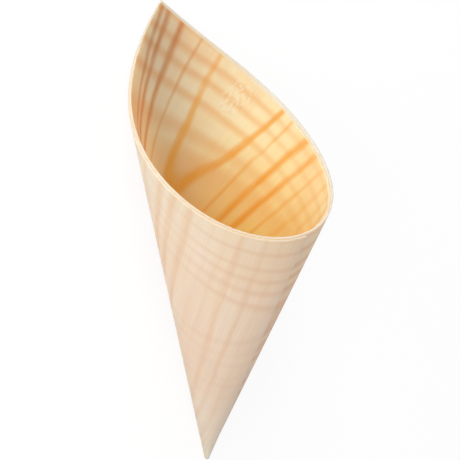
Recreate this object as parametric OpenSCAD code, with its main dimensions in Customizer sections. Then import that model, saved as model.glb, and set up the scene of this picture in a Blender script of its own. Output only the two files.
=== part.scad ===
// Serving cone rolled from one sheet of wood veneer.
// The flat sheet is a rectangle about twice as long as it is high. The cone's point is in the
// middle of its lower long edge, so the sheet fills half a circle round that point. It is rolled
// into two full turns: each turn takes a quarter circle, and both upper corners land together
// as the tall tip. The two short halves of the lower edge become the inner and the outer seam,
// opposite the tip. The cone lies on its tall side, as it comes to rest.

/* [Sheet] */
// Height of the sheet, from the edge with the point to the far long edge
sheet_height = 127; // [100:1:160]
// Length of the sheet, from the end that is rolled inside to the end that is left outside
sheet_length = 252.3; // [200:0.1:320]
// How far the point lies off the middle of the sheet, towards the inside end
point_off_middle = 0.35; // [-3:0.05:3]
// Thickness of the veneer
veneer = 0.65; // [0.4:0.05:1.2]

/* [Section] */
// How oval the cone is, as a share of its half angle, widest from the tip to the seam
oval = 0.07; // [0:0.005:0.15]
// How much blunter the seam side is rounded than the tip side, as a share of the half angle
egg = 0.008; // [0:0.002:0.03]

/* [Point] */
// Radius of the blunt point
point_radius = 0.75; // [0.7:0.05:2]
// Height of the last bit of hollow that closes over the point
hollow_end = 1.5; // [0.5:0.1:5]

/* [Rest] */
// Line that the cone lies on, as its angle round the axis from the tall tip
rest_side = 6; // [-20:0.5:20]

/* [Detail] */
// Angle of sheet between two generators of the surface
facet = 0.5; // [0.4:0.05:3]

/* [Hidden] */
turn = 90;
turns = 2;
section_steps = 360;
same_level = 0.001;

// Section of the cone, as the half angle at each angle round the axis, 0 being the tip's side
function half_angle(round, mean) = mean * (1 + oval * cos(2 * round) - egg * cos(3 * round));
function ray(round, mean) =
    let (a = half_angle(round, mean))
    [sin(a) * cos(round), sin(a) * sin(round), cos(a)];
function outward(round, mean) =
    let (along = ray(round + 0.01, mean) - ray(round - 0.01, mean))
    let (n = cross(along, ray(round, mean)))
    n / norm(n);

// Sheet used up between the seam and each angle round the axis, as a table
function chord_angle(a, b) = 2 * asin(norm(a - b) / 2);
function step_angle(i, mean) =
    let (wide = 360 / section_steps)
    chord_angle(ray(i * wide - 180, mean), ray((i + 1) * wide - 180, mean));
function used(mean) =
    [for (i = 0, sum = 0; i <= section_steps; sum = sum + step_angle(i, mean), i = i + 1) sum];
// Mean half angle at which one turn round the cone takes just one turn of sheet
function fitted(mean, tries) =
    tries == 0 ? mean : fitted(mean * turn / used(mean)[section_steps], tries - 1);
mean_angle = fitted(asin(turn / 360), 6);
rolled = used(mean_angle);
rolled_at = [for (i = [0 : section_steps])
    [turn * rolled[i] / rolled[section_steps], i * 360 / section_steps - 180]];
function round_at(sheet_angle) = lookup(sheet_angle, rolled_at);

// Slant distance from the point to the sheet's edge, for a sheet angle from 0 to 180
inner_length = sheet_length / 2 - point_off_middle;
outer_length = sheet_length / 2 + point_off_middle;
inner_corner = atan(sheet_height / inner_length);
outer_corner = 180 - atan(sheet_height / outer_length);
function edge(sheet_angle) =
    sheet_angle < inner_corner ? inner_length / cos(sheet_angle)
    : sheet_angle > outer_corner ? outer_length / cos(180 - sheet_angle)
    : sheet_height / sin(sheet_angle);

// Stations round one turn: even steps between the corners and the places where edges cross
function sorted(v) =
    len(v) <= 1 ? v
    : let (pivot = v[floor(len(v) / 2)])
      concat(sorted([for (x = v) if (x < pivot) x]), [for (x = v) if (x == pivot) x],
             sorted([for (x = v) if (x > pivot) x]));
marks = sorted([0, inner_corner, outer_corner - turn, turn / 2,
                atan(outer_length / inner_length), turn]);
stations = [
    for (i = [0 : len(marks) - 2])
        let (steps = ceil((marks[i + 1] - marks[i]) / facet - 0.001))
        if (marks[i + 1] - marks[i] > same_level)
            for (k = [0 : steps - 1]) marks[i] + (marks[i + 1] - marks[i]) * k / steps,
    turn
];
n = len(stations) - 1;

// Generator g counts on from the inner end of the sheet to the outer end
function station(g) = g <= n ? stations[g] : stations[g - n];
function sheet_at(g) = g <= n ? stations[g] : turn + stations[g - n];
// Each turn lies on the one below it, and the whole wall is centred on the section
function offset_at(g, face) = veneer * (sheet_at(g) / turn + face - (turns + 1) / 2);
function on_sheet(g, face, slant) =
    let (round = round_at(station(g)))
    slant * ray(round, mean_angle) + offset_at(g, face) * outward(round, mean_angle);
function at_height(g, face, z) =
    let (round = round_at(station(g)))
    let (side = offset_at(g, face) * outward(round, mean_angle))
    let (along = ray(round, mean_angle))
    side + along * (z - side.z) / along.z;

// Heights along the axis where the hollow and the blunt point end
hollow_apex = veneer / sin(mean_angle);
hollow_ring = hollow_apex * (turns + 1) / 2 + hollow_end;
point_z = (point_radius - veneer / cos(mean_angle)) / tan(mean_angle);

upright = concat(
    [for (g = [0 : turns * n]) on_sheet(g, 0, edge(sheet_at(g)))],
    [for (g = [0 : turns * n]) on_sheet(g, 1, edge(sheet_at(g)))],
    [for (g = [0 : n]) at_height(g, 0, hollow_ring)],
    [for (g = [n : turns * n]) at_height(g, 1, point_z)],
    [[0, 0, hollow_apex], [0, 0, point_z]]
);

// Numbers of those points: edges of the sheet's two faces, rings, and the two ends on the axis
function top_outer(g) = turns * n + 1 + g;
function level_with_turn_below(g) =
    g >= n && abs(edge(sheet_at(g)) - edge(sheet_at(g - n))) < same_level;
function top_inner(g) = level_with_turn_below(g) ? top_outer(g - n) : g;
function ring_inner(g) = 2 * (turns * n + 1) + g;
function ring_point(g) = 2 * (turns * n + 1) + n + 1 + g - n;
inner_end = len(upright) - 2;
point_end = len(upright) - 1;

// A face without repeated points, and without faces that have shrunk to a line
function trimmed(f) = [for (i = [0 : len(f) - 1]) if (f[i] != f[(i + 1) % len(f)]) f[i]];
function real_faces(faces) = [for (f = faces) let (t = trimmed(f)) if (len(t) > 2) t];

inner_end_is_lower = inner_length < sheet_height;
outer_end_is_higher = outer_length > sheet_height;
around = [
    for (j = [0 : n - 1]) each [
        // Hollow, with the inner end's edge in the last strip where it ends against it
        [ring_inner(j), top_inner(j), top_inner(j + 1),
         if (j == n - 1 && inner_end_is_lower) top_outer(0), ring_inner(j + 1)],
        [inner_end, ring_inner(j), ring_inner(j + 1)],
        // Cut edges of both turns, and the strip of one turn that stands above the other
        [top_inner(j), top_outer(j), top_outer(j + 1), top_inner(j + 1)],
        [top_outer(j), top_inner(n + j), top_inner(n + j + 1), top_outer(j + 1)],
        [top_inner(n + j), top_outer(n + j), top_outer(n + j + 1), top_inner(n + j + 1)],
        // Outside and blunt point
        [top_outer(n + j), if (j == 0 && !outer_end_is_higher) top_inner(2 * n),
         ring_point(n + j), ring_point(n + j + 1), top_outer(n + j + 1)],
        [ring_point(n + j), point_end, ring_point(n + j + 1)]
    ]
];
inner_seam = [
    [inner_end, ring_inner(n), if (!inner_end_is_lower) top_inner(n), top_outer(0), top_inner(0),
     ring_inner(0)]
];
outer_seam = [
    [point_end, ring_point(n), if (outer_end_is_higher) top_outer(n), top_inner(2 * n),
     top_outer(2 * n), ring_point(2 * n)]
];

// Lying on its lowest line: the line runs along +X, and the wood there faces the ground
ahead = ray(rest_side, mean_angle);
up = -outward(rest_side, mean_angle);
across = cross(up, ahead);
lying = [for (p = upright) [p * ahead, p * across, p * up]];
low = [for (axis = [0 : 2]) min([for (p = lying) p[axis]])];
high = [for (axis = [0 : 2]) max([for (p = lying) p[axis]])];
foot = [(low.x + high.x) / 2, (low.y + high.y) / 2, low.z];

module veneer_cone() {
    color("navajowhite")
    translate(-foot)
    polyhedron(points = lying, faces = real_faces(concat(around, inner_seam, outer_seam)));
}

veneer_cone();
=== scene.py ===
import bmesh
import bpy
import numpy as np
from mathutils import Euler, Matrix, Vector


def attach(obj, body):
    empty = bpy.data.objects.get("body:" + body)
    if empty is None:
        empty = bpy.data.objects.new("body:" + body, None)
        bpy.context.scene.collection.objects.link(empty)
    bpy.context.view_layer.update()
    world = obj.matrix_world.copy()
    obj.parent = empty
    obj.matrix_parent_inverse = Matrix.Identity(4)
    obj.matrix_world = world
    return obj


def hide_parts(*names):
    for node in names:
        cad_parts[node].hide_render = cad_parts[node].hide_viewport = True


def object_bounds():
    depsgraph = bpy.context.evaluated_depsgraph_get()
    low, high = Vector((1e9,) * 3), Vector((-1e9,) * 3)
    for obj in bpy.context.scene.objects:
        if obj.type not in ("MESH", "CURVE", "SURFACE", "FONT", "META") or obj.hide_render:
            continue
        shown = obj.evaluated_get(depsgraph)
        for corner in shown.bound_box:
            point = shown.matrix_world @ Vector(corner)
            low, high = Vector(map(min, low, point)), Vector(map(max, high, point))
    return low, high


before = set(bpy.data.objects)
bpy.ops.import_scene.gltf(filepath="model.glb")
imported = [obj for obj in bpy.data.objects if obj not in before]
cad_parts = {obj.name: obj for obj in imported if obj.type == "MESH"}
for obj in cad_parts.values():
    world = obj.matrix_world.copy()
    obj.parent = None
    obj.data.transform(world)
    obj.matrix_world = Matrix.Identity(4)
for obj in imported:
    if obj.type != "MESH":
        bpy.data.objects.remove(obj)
solid_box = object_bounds()


# The rolled sheet
# One rectangle of rotary cut pine veneer, a good half millimetre thick, steamed and rolled
# round a point in the middle of its lower long edge into two full turns. The turns are glued
# face to face, so the grain of one crosses the grain of the other at right angles.

sheet_height = 0.127
inner_length = 0.1258
outer_length = 0.1265
veneer = 0.00065
quarter = np.pi / 2
oval = 0.07
egg = 0.008
rest_side = np.radians(6)
point_radius = 0.00075
hollow_end = 0.0015
worn_edge = 0.00003


def half_angle(bearing, mean):
    """Mean half angle, times one plus the oval's cosine of twice the bearing less the egg's
    cosine of three times it."""
    return mean * (1 + oval * np.cos(2 * bearing) - egg * np.cos(3 * bearing))


def ray(bearing, mean):
    """Unit vector down the slant: the axis leaned out by the half angle towards the bearing."""
    lean = half_angle(bearing, mean)
    parts = [np.sin(lean) * np.cos(bearing), np.sin(lean) * np.sin(bearing), np.cos(lean)]
    return np.stack(parts, axis=-1)


def outward(bearing, mean):
    """Unit normal of the wall: the way round the section crossed with the ray."""
    small = 1e-4
    round_the_section = ray(bearing + small, mean) - ray(bearing - small, mean)
    normal = np.cross(round_the_section, ray(bearing, mean))
    return normal / np.linalg.norm(normal, axis=-1, keepdims=True)


def sheet_used(mean):
    """Running sum of the angles between neighbouring rays, from the seam round to the seam."""
    chords = np.linalg.norm(np.diff(ray(bearings, mean), axis=0), axis=1)
    return np.concatenate([[0], np.cumsum(2 * np.arcsin(chords / 2))])


# The half angle is the one at which a turn takes exactly a quarter circle of the sheet
bearings = np.linspace(-np.pi, np.pi, 721)
mean_angle = np.arcsin(0.25)
for _ in range(8):
    mean_angle *= quarter / sheet_used(mean_angle)[-1]
used = sheet_used(mean_angle)


def edge(sheet_angle):
    """Distance from the point to the rectangle's edge: an end's length over the cosine in the
    two outer parts, and the sheet's height over the sine in the part between the corners."""
    from_outer_end = np.pi - sheet_angle
    inner_end = inner_length / np.cos(np.minimum(sheet_angle, 1.5))
    outer_end = outer_length / np.cos(np.minimum(from_outer_end, 1.5))
    long_side = sheet_height / np.sin(np.clip(sheet_angle, 0.05, np.pi - 0.05))
    in_inner_part = sheet_angle < np.arctan2(sheet_height, inner_length)
    in_outer_part = from_outer_end < np.arctan2(sheet_height, outer_length)
    return np.where(in_inner_part, inner_end, np.where(in_outer_part, outer_end, long_side))


def bearing_at(turn_angle):
    """Bearing at which this much of a turn's sheet is used up, counted from the seam."""
    return np.interp(turn_angle, used * quarter / used[-1], bearings)


def wall_offset(sheet_angle, depth):
    """One veneer for each turn already rolled, plus the depth in this turn, both from the
    middle of the two turns."""
    middle = 1.5
    return veneer * (sheet_angle / quarter + depth - middle)


def on_cone(turn_angle, sheet_angle, slant, depth):
    """Slant distance along the ray of this bearing, plus the wall's offset along its normal."""
    bearing = bearing_at(turn_angle)
    offset = wall_offset(sheet_angle, depth)
    along = ray(bearing, mean_angle)
    out = outward(bearing, mean_angle)
    return slant[..., None] * along + offset[..., None] * out


def slant_at_height(turn_angle, sheet_angle, depth, height):
    """Slant distance at which a face of the wall is at this height over the point."""
    bearing = bearing_at(turn_angle)
    offset = wall_offset(sheet_angle, depth)
    along = ray(bearing, mean_angle)[..., 2]
    out = outward(bearing, mean_angle)[..., 2]
    return (height - offset * out) / along


def flat(sheet_angle, slant):
    """Place on the flat sheet: along the grain from the point, and up from the lower edge."""
    return np.stack([slant * np.cos(sheet_angle), slant * np.sin(sheet_angle)], axis=-1)


corner_turns = [
    np.arctan2(sheet_height, inner_length),
    quarter - np.arctan2(sheet_height, outer_length),
    np.arctan2(outer_length, inner_length),
]
turn_angles = np.unique(np.concatenate([np.linspace(0, quarter, 241), corner_turns]))
steps_round = len(turn_angles)
up_the_slant = np.linspace(0, 1, 61)

blocks = []
block_places = []
block_faces = []
block_finishes = []
points_so_far = 0
INSIDE, OUTSIDE, CUT = 0, 1, 2


def add_grid(points, places, finish, flip):
    """A grid of points becomes a grid of four-sided faces; flip turns them to face the other
    way. The face's corners take their places on the flat sheet from the same grid."""
    global points_so_far
    rows, columns = points.shape[:2]
    index = np.arange(rows * columns).reshape(rows, columns) + points_so_far
    corners = [index[:-1, :-1], index[1:, :-1], index[1:, 1:], index[:-1, 1:]]
    if flip:
        corners.reverse()
    quads = np.stack(corners, axis=-1).reshape(-1, 4)
    blocks.append(points.reshape(-1, 3))
    block_places.append(places.reshape(-1, 2))
    block_faces.extend(quads.tolist())
    block_finishes.extend([finish] * len(quads))
    points_so_far += rows * columns


def add_polygon(points, places, finish):
    """One flat face through these points in this order."""
    global points_so_far
    block_faces.append(list(range(points_so_far, points_so_far + len(points))))
    block_finishes.append(finish)
    blocks.append(np.array(points))
    block_places.append(np.array(places))
    points_so_far += len(points)


def slants(first, last, step):
    """Even steps from the first slant distance to a little under the last, then the last, so
    that a station falls where the end of the other turn lies against this one."""
    below = first[:, None] + (last - step - first)[:, None] * up_the_slant
    return np.concatenate([below, last[:, None]], axis=1)


# Hollow: the inner face of the inner turn
hollow_apex = veneer / np.sin(mean_angle)
hollow_ring = hollow_apex * 1.5 + hollow_end
inner_angles = turn_angles
inner_tops = edge(inner_angles) - worn_edge
inner_first = slant_at_height(turn_angles, inner_angles, 0, hollow_ring)
inner_slants = slants(inner_first, inner_tops, sheet_height - inner_length)
columns = inner_slants.shape[1]
grid_turns = np.repeat(turn_angles[:, None], columns, axis=1)
hollow = on_cone(grid_turns, grid_turns, inner_slants, 0)
hollow_places = flat(grid_turns, inner_slants)
add_grid(hollow, hollow_places, INSIDE, True)

# Outside: the outer face of the outer turn
outer_angles = turn_angles + quarter
outer_tops = edge(outer_angles) - worn_edge
blunt_height = (point_radius - veneer / np.cos(mean_angle)) / np.tan(mean_angle)
rubbed_off = 0.00018
point_height = blunt_height + rubbed_off
outer_first = slant_at_height(turn_angles, outer_angles, 1, point_height)
outer_slants = slants(outer_first, outer_tops, sheet_height - outer_length)
skin = on_cone(grid_turns, grid_turns + quarter, outer_slants, 1)
skin_places = flat(grid_turns + quarter, outer_slants)
add_grid(skin, skin_places, OUTSIDE, False)

# Cut edges of both turns, worn a little round where the knife left them sharp
across_cut = np.array([0, 0.06, 0.18, 0.5, 0.82, 0.94, 1])
worn_off = np.array([1, 0.45, 0.08, 0, 0.08, 0.45, 1]) * worn_edge
cut_turns = np.repeat(turn_angles[:, None], len(across_cut), axis=1)


def cut_edge(sheet_angles):
    """Points over the thickness of one turn along its upper edge, lowest at both faces."""
    slant = edge(sheet_angles)[:, None] - worn_off
    angles = np.repeat(sheet_angles[:, None], len(across_cut), axis=1)
    depth = np.broadcast_to(across_cut, slant.shape)
    return on_cone(cut_turns, angles, slant, depth), flat(angles, slant)


inner_cut, inner_cut_places = cut_edge(inner_angles)
outer_cut, outer_cut_places = cut_edge(outer_angles)
add_grid(inner_cut, inner_cut_places, CUT, True)
add_grid(outer_cut, outer_cut_places, CUT, True)

# The strip of one turn that stands above the other turn's edge
outer_stands = outer_tops > inner_tops
between = np.stack([inner_tops, outer_tops], axis=1)
two_turns = np.repeat(turn_angles[:, None], 2, axis=1)
strip = on_cone(two_turns, two_turns, between, 1)
whose = np.where(outer_stands[:, None], two_turns + quarter, two_turns)
strip_places = flat(whose, between)
add_grid(strip, strip_places, OUTSIDE, True)

# Both ends of the sheet show as straight seams, opposite the tall tip
for column in range(columns - 2):
    low, high = column, column + 1
    add_polygon(
        [hollow[0, low], hollow[-1, low], hollow[-1, high], hollow[0, high]],
        [hollow_places[0, low]] * 2 + [hollow_places[0, high]] * 2,
        CUT,
    )
    add_polygon(
        [skin[0, low], skin[-1, low], skin[-1, high], skin[0, high]],
        [skin_places[-1, low]] * 2 + [skin_places[-1, high]] * 2,
        CUT,
    )
add_polygon([hollow[0, -2], hollow[-1, -2], hollow[0, -1]], [hollow_places[0, -1]] * 3, CUT)
add_polygon([skin[0, -2], skin[-1, -2], skin[-1, -1]], [skin_places[-1, -1]] * 3, CUT)
add_polygon(inner_cut[0][::-1], inner_cut_places[0], CUT)
add_polygon(outer_cut[-1], outer_cut_places[-1], CUT)

# The hollow closes over the point, and the point is rubbed round
closed_turns = np.append(np.arange(steps_round), 0)
hollow_rows = hollow[closed_turns, 0]
hollow_middle = np.broadcast_to([0, 0, hollow_apex], hollow_rows.shape)
row_places = hollow_places[closed_turns, 0]
near_point = 0.2
add_grid(
    np.stack([hollow_middle, hollow_rows], axis=1),
    np.stack([row_places * near_point, row_places], axis=1),
    INSIDE,
    True,
)
round_end = np.radians(np.linspace(90, 0, 7))
skin_ring = skin[closed_turns, 0][:, None, :]
ring_middle = np.array([0, 0, point_height])
dome_share = 0.4
end_drop = np.array([0, 0, -dome_share * point_radius])
dome = (
    ring_middle
    + (skin_ring - ring_middle) * np.cos(round_end)[:, None]
    + end_drop * np.sin(round_end)[:, None]
)
dome_places = np.repeat(skin_places[closed_turns, 0][:, None, :], len(round_end), axis=1)
add_grid(dome, dome_places, CUT, False)

# The cone lies on its lowest line, which runs along +X with the wood there facing the ground
points = np.concatenate(blocks)
ahead = ray(rest_side, mean_angle)
up = -outward(np.array(rest_side), mean_angle)
across = np.cross(up, ahead)
points = np.stack([points @ ahead, points @ across, points @ up], axis=1)
lowest, highest = points.min(axis=0), points.max(axis=0)
solid_low, solid_high = np.array(solid_box[0]), np.array(solid_box[1])
points[:, :2] += (solid_low + solid_high)[:2] / 2 - (lowest + highest)[:2] / 2
points[:, 2] += solid_low[2] - lowest[2]

cone_mesh = bpy.data.meshes.new("rolled_veneer")
cone_mesh.from_pydata(points, [], block_faces)
# The map covers this many millimetres of the flat sheet, with the point in the middle of its foot
map_length = 260.0
map_height = 130.0
places = np.concatenate(block_places) * 1000
place_map = cone_mesh.uv_layers.new(name="sheet")
corner_points = np.empty(len(cone_mesh.loops), dtype=np.int32)
cone_mesh.loops.foreach_get("vertex_index", corner_points)
on_map = places[corner_points] / [map_length, map_height] + [0.5, 0.0]
place_map.data.foreach_set("uv", on_map.ravel())
cone_mesh.polygons.foreach_set("material_index", block_finishes)

joining = bmesh.new()
joining.from_mesh(cone_mesh)
same_point = 2e-7
bmesh.ops.remove_doubles(joining, verts=joining.verts, dist=same_point)
bmesh.ops.dissolve_degenerate(joining, edges=joining.edges, dist=same_point)
joining.to_mesh(cone_mesh)
joining.free()
cone_mesh.shade_smooth()
cone_mesh.set_sharp_from_angle(angle=np.radians(35))
cone = bpy.data.objects.new("rolled_veneer", cone_mesh)
bpy.context.scene.collection.objects.link(cone)


def paint(red, green, blue):
    """Colour written as display values from 0 to 255, turned to the linear values of a shader."""
    display = np.array([red, green, blue]) / 255
    linear = np.where(display > 0.04045, ((display + 0.055) / 1.055) ** 2.4, display / 12.92)
    return (*linear.tolist(), 1)


class Nodes:
    """Short ways to add and join the nodes of one material or group."""

    def __init__(self, tree):
        self.tree = tree

    def add(self, kind, **settings):
        node = self.tree.nodes.new(kind)
        for name, value in settings.items():
            setattr(node, name, value)
        return node

    def put(self, value, socket):
        if isinstance(value, bpy.types.NodeSocket):
            self.tree.links.new(value, socket)
        else:
            socket.default_value = value

    def math(self, operation, *values):
        node = self.add("ShaderNodeMath", operation=operation)
        for value, socket in zip(values, node.inputs):
            self.put(value, socket)
        return node.outputs[0]

    def fit(self, value, low, high, to_low, to_high, kind="SMOOTHSTEP"):
        node = self.add("ShaderNodeMapRange", interpolation_type=kind)
        for socket, item in zip(node.inputs, (value, low, high, to_low, to_high)):
            self.put(item, socket)
        return node.outputs[0]

    def scaled(self, vector, factors, shift=(0, 0, 0)):
        node = self.add("ShaderNodeVectorMath", operation="MULTIPLY_ADD")
        self.put(vector, node.inputs[0])
        node.inputs[1].default_value = factors
        node.inputs[2].default_value = shift
        return node.outputs[0]

    def noise(self, vector, scale, detail=2.0, roughness=0.5):
        node = self.add("ShaderNodeTexNoise")
        self.put(vector, node.inputs["Vector"])
        node.inputs["Scale"].default_value = scale
        node.inputs["Detail"].default_value = detail
        node.inputs["Roughness"].default_value = roughness
        return node.outputs["Fac"]

    def blend(self, amount, first, second, kind="MIX"):
        node = self.add("ShaderNodeMix", data_type="RGBA", blend_type=kind)
        self.put(amount, node.inputs["Factor"])
        self.put(first, node.inputs[6])
        self.put(second, node.inputs[7])
        return node.outputs[2]


# Growth rings of the pine sheet, as a knife lays them open: nested arches that point to the
# outer end. A ring's distance, squared, is its height off their middle line, squared, less a
# share of the way from the first arch's top towards the inner end. All in millimetres.
rings_middle = 83.0
arch_top = 77.0
rings = bpy.data.node_groups.new("growth_rings", "ShaderNodeTree")
rings.interface.new_socket("Place", in_out="INPUT", socket_type="NodeSocketVector")
rings.interface.new_socket("Softness", in_out="INPUT", socket_type="NodeSocketFloat")
rings.interface.new_socket("Latewood", in_out="OUTPUT", socket_type="NodeSocketFloat")
r = Nodes(rings)
entry = r.add("NodeGroupInput")
leave = r.add("NodeGroupOutput")
split = r.add("ShaderNodeSeparateXYZ")
r.put(entry.outputs["Place"], split.inputs[0])
along_grain, over_grain = split.outputs[0], split.outputs[1]
sway = r.noise(r.scaled(entry.outputs["Place"], (0.018, 0.045, 0)), 1.0, 1.0)
ripple = r.noise(r.scaled(entry.outputs["Place"], (0.08, 0.16, 0), (31, 7, 0)), 1.0, 1.0)
swayed = r.math("MULTIPLY_ADD", sway, 2.4, -1.2)
rippled = r.math("MULTIPLY_ADD", ripple, 1.4, -0.7)
shift = r.math("ADD", swayed, rippled)
height = r.math("SUBTRACT", r.math("ADD", over_grain, shift), rings_middle)
ahead_of_arch = r.math("SUBTRACT", along_grain, arch_top)
far_off = r.math("MAXIMUM", r.math("SUBTRACT", r.math("ABSOLUTE", height), 24.0), 0.0)
open_side = r.math("MAXIMUM", ahead_of_arch, 0.0)
spread = r.math("MULTIPLY", r.math("MULTIPLY", far_off, 0.5), open_side)
squared = r.math("MULTIPLY", height, height)
bow = r.math("MULTIPLY", ahead_of_arch, 4.9)
inside_arch = r.math("SUBTRACT", r.math("SUBTRACT", squared, bow), spread)
root = r.math("SQRT", r.math("ABSOLUTE", inside_arch))
distance = r.math("MULTIPLY", root, r.math("SIGN", inside_arch))
# The innermost arch is broad and dark, most of all at its top, and its middle line bends down;
# its upper arm fades towards the far edge of the sheet
arch_middle = r.fit(along_grain, 80.0, 100.0, 0.8, -2.1)
arch_height = r.math("SUBTRACT", height, arch_middle)
arch_reach = r.math("MULTIPLY", r.math("SUBTRACT", along_grain, 76.0), 4.8)
off_arch = r.math("SUBTRACT", r.math("MULTIPLY", arch_height, arch_height), arch_reach)
arch_line = r.fit(r.math("ABSOLUTE", off_arch), 52.0, 6.0, 0.0, 1.0)
upper_arm = r.fit(arch_height, 8.0, 15.5, 1.0, 0.6)
latewood = r.math("MULTIPLY", arch_line, upper_arm)

# Each other ring by its distance and by its strength, first in the outer turn, then in the middle
# of the sheet and then in the inner turn, with its width between them; the last number tells a
# ring that runs on both sides of the arches, 0, from one that runs above, 1, or below them, -1
for far, middle, near, width, far_strength, middle_strength, near_strength, side in (
    (23.5, 20.8, 16.6, 1.4, 0.50, 0.80, 0.55, 0),
    (28.8, 25.0, 24.5, 1.9, 0.90, 0.80, 1.00, 0),
    (31.6, 29.6, 30.4, 1.7, 0.90, 0.85, 0.95, 0),
    (37.6, 34.0, 33.6, 1.5, 1.00, 0.85, 0.80, 1),
    (37.0, 36.0, 36.3, 1.1, 0.50, 0.50, 0.50, -1),
    (42.8, 40.3, 42.6, 1.6, 0.95, 0.90, 0.35, 0),
    (47.2, 46.5, 48.2, 1.6, 0.90, 0.70, 0.30, 0),
    (52.5, 52.5, 53.4, 1.4, 0.90, 0.50, 0.40, 0),
    (60.0, 60.0, 60.0, 1.2, 0.20, 0.30, 0.30, 0),
    (64.5, 64.5, 64.5, 0.9, 0.25, 0.30, 0.30, 0),
    (68.8, 72.6, 72.6, 1.3, 0.65, 0.60, 0.40, 0),
    (75.6, 75.6, 75.6, 1.0, 0.60, 0.60, 0.40, 0),
    (80.3, 80.3, 80.3, 1.0, 0.25, 0.40, 0.40, 0),
):
    outer_place = r.fit(along_grain, -90.0, 0.0, far, middle, "LINEAR")
    inner_shift = r.fit(along_grain, 30.0, 100.0, 0.0, near - middle, "LINEAR")
    place = r.math("ADD", outer_place, inner_shift)
    outer_reach = r.fit(along_grain, -60.0, -10.0, far_strength, middle_strength)
    inner_gain = r.fit(along_grain, 40.0, 80.0, 0.0, near_strength - middle_strength)
    reach = r.math("ADD", outer_reach, inner_gain)
    if side:
        on_its_side = r.fit(height, -4.0 * side, 4.0 * side, 0.0, 1.0, "LINEAR")
        reach = r.math("MULTIPLY", reach, on_its_side)
    off = r.math("DIVIDE", r.math("SUBTRACT", distance, place), entry.outputs["Softness"])
    rise = r.fit(off, -1.15 * width, 0.0, 0.0, 1.0)
    fall = r.fit(off, 0.0, width, 1.0, 0.0)
    line = r.math("MULTIPLY", r.math("MULTIPLY", rise, fall), reach)
    latewood = r.math("MAXIMUM", latewood, line)
r.put(latewood, leave.inputs["Latewood"])


def veneer_finish(name, turns_behind, tones, shares, softness):
    """Pine veneer: rings of the face that shows, and more faintly those of the turn behind it,
    which lies a quarter turn round on the flat sheet, with fine fibres along the grain."""
    base, ring, deep = tones
    own_share, other_share, fibre_share = shares
    material = bpy.data.materials.new(name)
    material.use_nodes = True
    n = Nodes(material.node_tree)
    shader = material.node_tree.nodes["Principled BSDF"]
    read = n.add("ShaderNodeUVMap", uv_map="sheet")
    here = n.scaled(read.outputs[0], (map_length, map_height, 0), (-map_length / 2, 0, 0))
    parts = n.add("ShaderNodeSeparateXYZ")
    n.put(here, parts.inputs[0])
    behind = n.add("ShaderNodeCombineXYZ")
    n.put(n.math("MULTIPLY", parts.outputs[1], -turns_behind), behind.inputs[0])
    n.put(n.math("MULTIPLY", parts.outputs[0], turns_behind), behind.inputs[1])

    own = n.add("ShaderNodeGroup", node_tree=rings)
    n.put(here, own.inputs["Place"])
    own.inputs["Softness"].default_value = softness[0]
    other = n.add("ShaderNodeGroup", node_tree=rings)
    n.put(behind.outputs[0], other.inputs["Place"])
    other.inputs["Softness"].default_value = softness[1]

    fibre = n.noise(n.scaled(here, (0.035, 1.9, 0)), 1.0, 3.0, 0.6)
    pore = n.noise(n.scaled(here, (0.25, 5.0, 0)), 1.0, 2.0, 0.6)
    mottle = n.noise(n.scaled(here, (0.03, 0.06, 0), (5, 3, 0)), 1.0, 2.0)
    patchy = n.noise(n.scaled(here, (0.05, 0.3, 0), (11, 9, 0)), 1.0, 2.0)

    slant = n.add("ShaderNodeVectorMath", operation="LENGTH")
    n.put(here, slant.inputs[0])
    own_fade = n.fit(patchy, 0.3, 0.6, 0.7 * own_share, own_share)
    other_fade = n.fit(slant.outputs["Value"], 62.0, 92.0, 0.3 * other_share, other_share)
    if name == "inside_veneer":
        fainter_low = n.fit(parts.outputs[1], 45.0, 85.0, 0.45, 1.0)
        other_fade = n.math("MULTIPLY", other_fade, fainter_low)
        # Painted shade: the rings high on the sheet, towards the tall tip, made darker and duller
        # where the wall is turned from the lamps
        painted_shade_high_up = n.fit(parts.outputs[1], 92.0, 112.0, 0.0, 1.0)
        deep = n.blend(painted_shade_high_up, deep, paint(212, 146, 90))
    elif name == "outside_veneer":
        own_fade = n.math("ADD", own_fade, n.fit(parts.outputs[0], -32.0, -8.0, 0.0, 0.25))
        fainter_high = n.fit(parts.outputs[1], 44.0, 22.0, 0.45, 1.0)
        other_fade = n.math("MULTIPLY", other_fade, fainter_high)
    own_amount = n.math("MULTIPLY", own.outputs["Latewood"], own_fade)
    other_amount = n.math("MULTIPLY", other.outputs["Latewood"], other_fade)
    colour = n.blend(n.fit(mottle, 0.35, 0.65, 0.0, 0.3), base, ring)
    colour = n.blend(n.fit(fibre, 0.35, 0.7, 0.0, fibre_share), colour, ring)
    colour = n.blend(other_amount, colour, ring)
    colour = n.blend(own_amount, colour, deep)
    if name == "inside_veneer":
        # Painted warm glow: the lower part of the sheet made yellower, standing for light bounced
        # in the hollow and through the wall
        painted_glow_low_down = n.fit(parts.outputs[1], 90.0, 45.0, 0.0, 1.0)
        colour = n.blend(painted_glow_low_down, colour, (1.0, 0.93, 0.84, 1), "MULTIPLY")
        colour = torn_patch(n, here, colour)
        # Painted warm glow towards the point and painted shade towards the tall tip, by the slant
        colour = painted_glow_and_shade_along_slant(n, slant.outputs["Value"], colour)
    n.put(colour, shader.inputs["Base Color"])
    shader.inputs["Roughness"].default_value = 0.62
    shader.inputs["Specular IOR Level"].default_value = 0.3
    shader.inputs["Subsurface Weight"].default_value = 0.85
    shader.inputs["Subsurface Radius"].default_value = (1.0, 0.75, 0.5)
    shader.inputs["Subsurface Scale"].default_value = 0.006

    relief = n.math("MULTIPLY_ADD", fibre, 0.5, n.math("MULTIPLY", pore, 0.5))
    bump = n.add("ShaderNodeBump")
    bump.inputs["Strength"].default_value = 0.25
    bump.inputs["Distance"].default_value = 0.00008
    n.put(relief, bump.inputs["Height"])
    n.put(bump.outputs[0], shader.inputs["Normal"])
    return material


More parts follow.
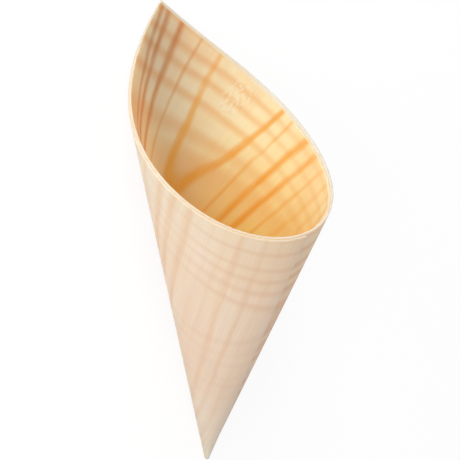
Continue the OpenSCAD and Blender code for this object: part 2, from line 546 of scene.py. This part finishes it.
def torn_patch(n, here, colour):
    """A thumbnail of torn fibres near the sheet's inner end, paler and pinker in small flecks."""
    middle = (117.0, 82.0)
    half = (11.0, 7.0)
    from_patch = n.scaled(
        here,
        (1 / half[0], 1 / half[1], 0),
        (-middle[0] / half[0], -middle[1] / half[1], 0),
    )
    radius = n.add("ShaderNodeVectorMath", operation="LENGTH")
    n.put(from_patch, radius.inputs[0])
    mask = n.fit(radius.outputs["Value"], 1.0, 0.4, 0.0, 1.0)
    flecks = n.noise(n.scaled(here, (0.5, 0.85, 0), (3, 17, 0)), 1.0, 2.0, 0.6)
    pale = n.math("MULTIPLY", mask, n.fit(flecks, 0.45, 0.62, 0.0, 0.42))
    dark = n.math("MULTIPLY", mask, n.fit(flecks, 0.46, 0.34, 0.0, 0.35))
    colour = n.blend(pale, colour, paint(252, 232, 212))
    return n.blend(dark, colour, paint(240, 186, 140))


def painted_glow_and_shade_along_slant(n, slant, colour):
    """Painted light by the slant: a painted warm glow, more yellow towards the point, and painted
    shade, duller towards the tall tip.
    """
    # Painted glow: light coming through the wall and bounced in the hollow, shown as a yellower
    # colour towards the point
    painted_glow_near_point = n.fit(slant, 140.0, 75.0, 0.0, 0.85)
    colour = n.blend(painted_glow_near_point, colour, (1.06, 0.94, 0.52, 1), "MULTIPLY")
    # Painted shade: the wall near the tall tip, turned from the lamps, shown as a duller colour
    painted_shade_near_tip = n.fit(slant, 128.0, 172.0, 0.0, 1.0)
    return n.blend(painted_shade_near_tip, colour, (0.88, 0.80, 0.79, 1), "MULTIPLY")


inside_tones = paint(247, 226, 192), paint(236, 186, 138), paint(240, 168, 80)
outside_tones = paint(247, 225, 204), paint(232, 198, 172), paint(226, 184, 152)
cut_tones = paint(220, 200, 176), paint(216, 193, 166), paint(210, 182, 152)
for finish in (
    veneer_finish("inside_veneer", 1, inside_tones, (0.95, 0.85, 0.2), (1.05, 1.15)),
    veneer_finish("outside_veneer", -1, outside_tones, (0.6, 0.62, 0.3), (1.35, 0.9)),
    veneer_finish("cut_veneer", 1, cut_tones, (0.3, 0.0, 0.25), (0.7, 1.0)),
):
    cone_mesh.materials.append(finish)

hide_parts("veneer_cone")
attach(cone, "root")


# Floor
# A plain white table top that runs out of the picture on every side. It looks white to the
# camera and keeps part of the soft shadow under the cone.

floor_half = 6.0
floor_mesh = bpy.data.meshes.new("table_top")
floor_corners = [
    (-floor_half, -floor_half, 0.0),
    (floor_half, -floor_half, 0.0),
    (floor_half, floor_half, 0.0),
    (-floor_half, floor_half, 0.0),
]
floor_mesh.from_pydata(floor_corners, [], [(0, 1, 2, 3)])
floor = bpy.data.objects.new("table_top", floor_mesh)
bpy.context.scene.collection.objects.link(floor)
floor_paint = bpy.data.materials.new("white_table")
floor_paint.use_nodes = True
f = Nodes(floor_paint.node_tree)
floor_matt = f.tree.nodes["Principled BSDF"]
floor_matt.inputs["Base Color"].default_value = (0.86, 0.86, 0.86, 1)
floor_matt.inputs["Roughness"].default_value = 0.9
floor_matt.inputs["Specular IOR Level"].default_value = 0.0
floor_glow = f.add("ShaderNodeEmission")
floor_glow.inputs["Color"].default_value = (1, 1, 1, 1)
floor_glow.inputs["Strength"].default_value = 1.08
floor_light = f.add("ShaderNodeLightPath")
floor_mix = f.add("ShaderNodeMixShader")
glow_share = 0.8
seen_glow = f.math("MULTIPLY", floor_light.outputs["Is Camera Ray"], glow_share)
f.put(seen_glow, floor_mix.inputs[0])
f.put(floor_matt.outputs[0], floor_mix.inputs[1])
f.put(floor_glow.outputs[0], floor_mix.inputs[2])
f.put(floor_mix.outputs[0], f.tree.nodes["Material Output"].inputs["Surface"])
floor_mesh.materials.append(floor_paint)


# Light
# An even white sky and two large soft boxes, one behind the camera and one in front of the
# cone's mouth.

sky = bpy.data.worlds.new("studio_white")
bpy.context.scene.world = sky
sky.use_nodes = True
sky.node_tree.nodes["Background"].inputs["Color"].default_value = (1, 1, 1, 1)
sky.node_tree.nodes["Background"].inputs["Strength"].default_value = 0.51


def soft_box(name, place, size, power):
    """Square white lamp at this place, aimed at the middle of the cone."""
    lamp = bpy.data.lights.new(name, "AREA")
    lamp.shape = "SQUARE"
    lamp.size = size
    lamp.energy = power
    box = bpy.data.objects.new(name, lamp)
    box.location = place
    aim = Vector((0, 0, 0.03)) - Vector(place)
    box.rotation_euler = aim.to_track_quat("-Z", "Y").to_euler()
    bpy.context.scene.collection.objects.link(box)


soft_box("key_box", (0.50, 1.15, 0.46), 0.9, 8.0)
soft_box("fill_box", (1.20, 0.26, 0.40), 0.5, 8.9)


# Camera
# Looks down on the lying cone and is turned on its side, so that the point is at the foot of
# the picture and the tall tip at its head.

camera_place = (0.18154, 0.30879, 0.32726)
camera_bearing = np.radians(151.141)
camera_elevation = np.radians(40.441)
camera_roll = np.radians(103.447)
lens = bpy.data.cameras.new("camera")
lens.sensor_fit = "HORIZONTAL"
lens.sensor_width = 36.0
lens.lens = 104.12
lens.clip_start = 0.01
lens.clip_end = 50.0
camera = bpy.data.objects.new("camera", lens)
aimed = Euler((np.pi / 2 - camera_elevation, 0, camera_bearing)).to_matrix()
turned = aimed @ Matrix.Rotation(camera_roll, 3, "Z")
camera.matrix_world = Matrix.Translation(camera_place) @ turned.to_4x4()
bpy.context.scene.collection.objects.link(camera)
bpy.context.scene.camera = camera
bpy.context.scene.view_settings.view_transform = "Standard"


def corners(box):
    """Both corners of a box as plain lists of numbers."""
    return [[float(value) for value in corner] for corner in box]
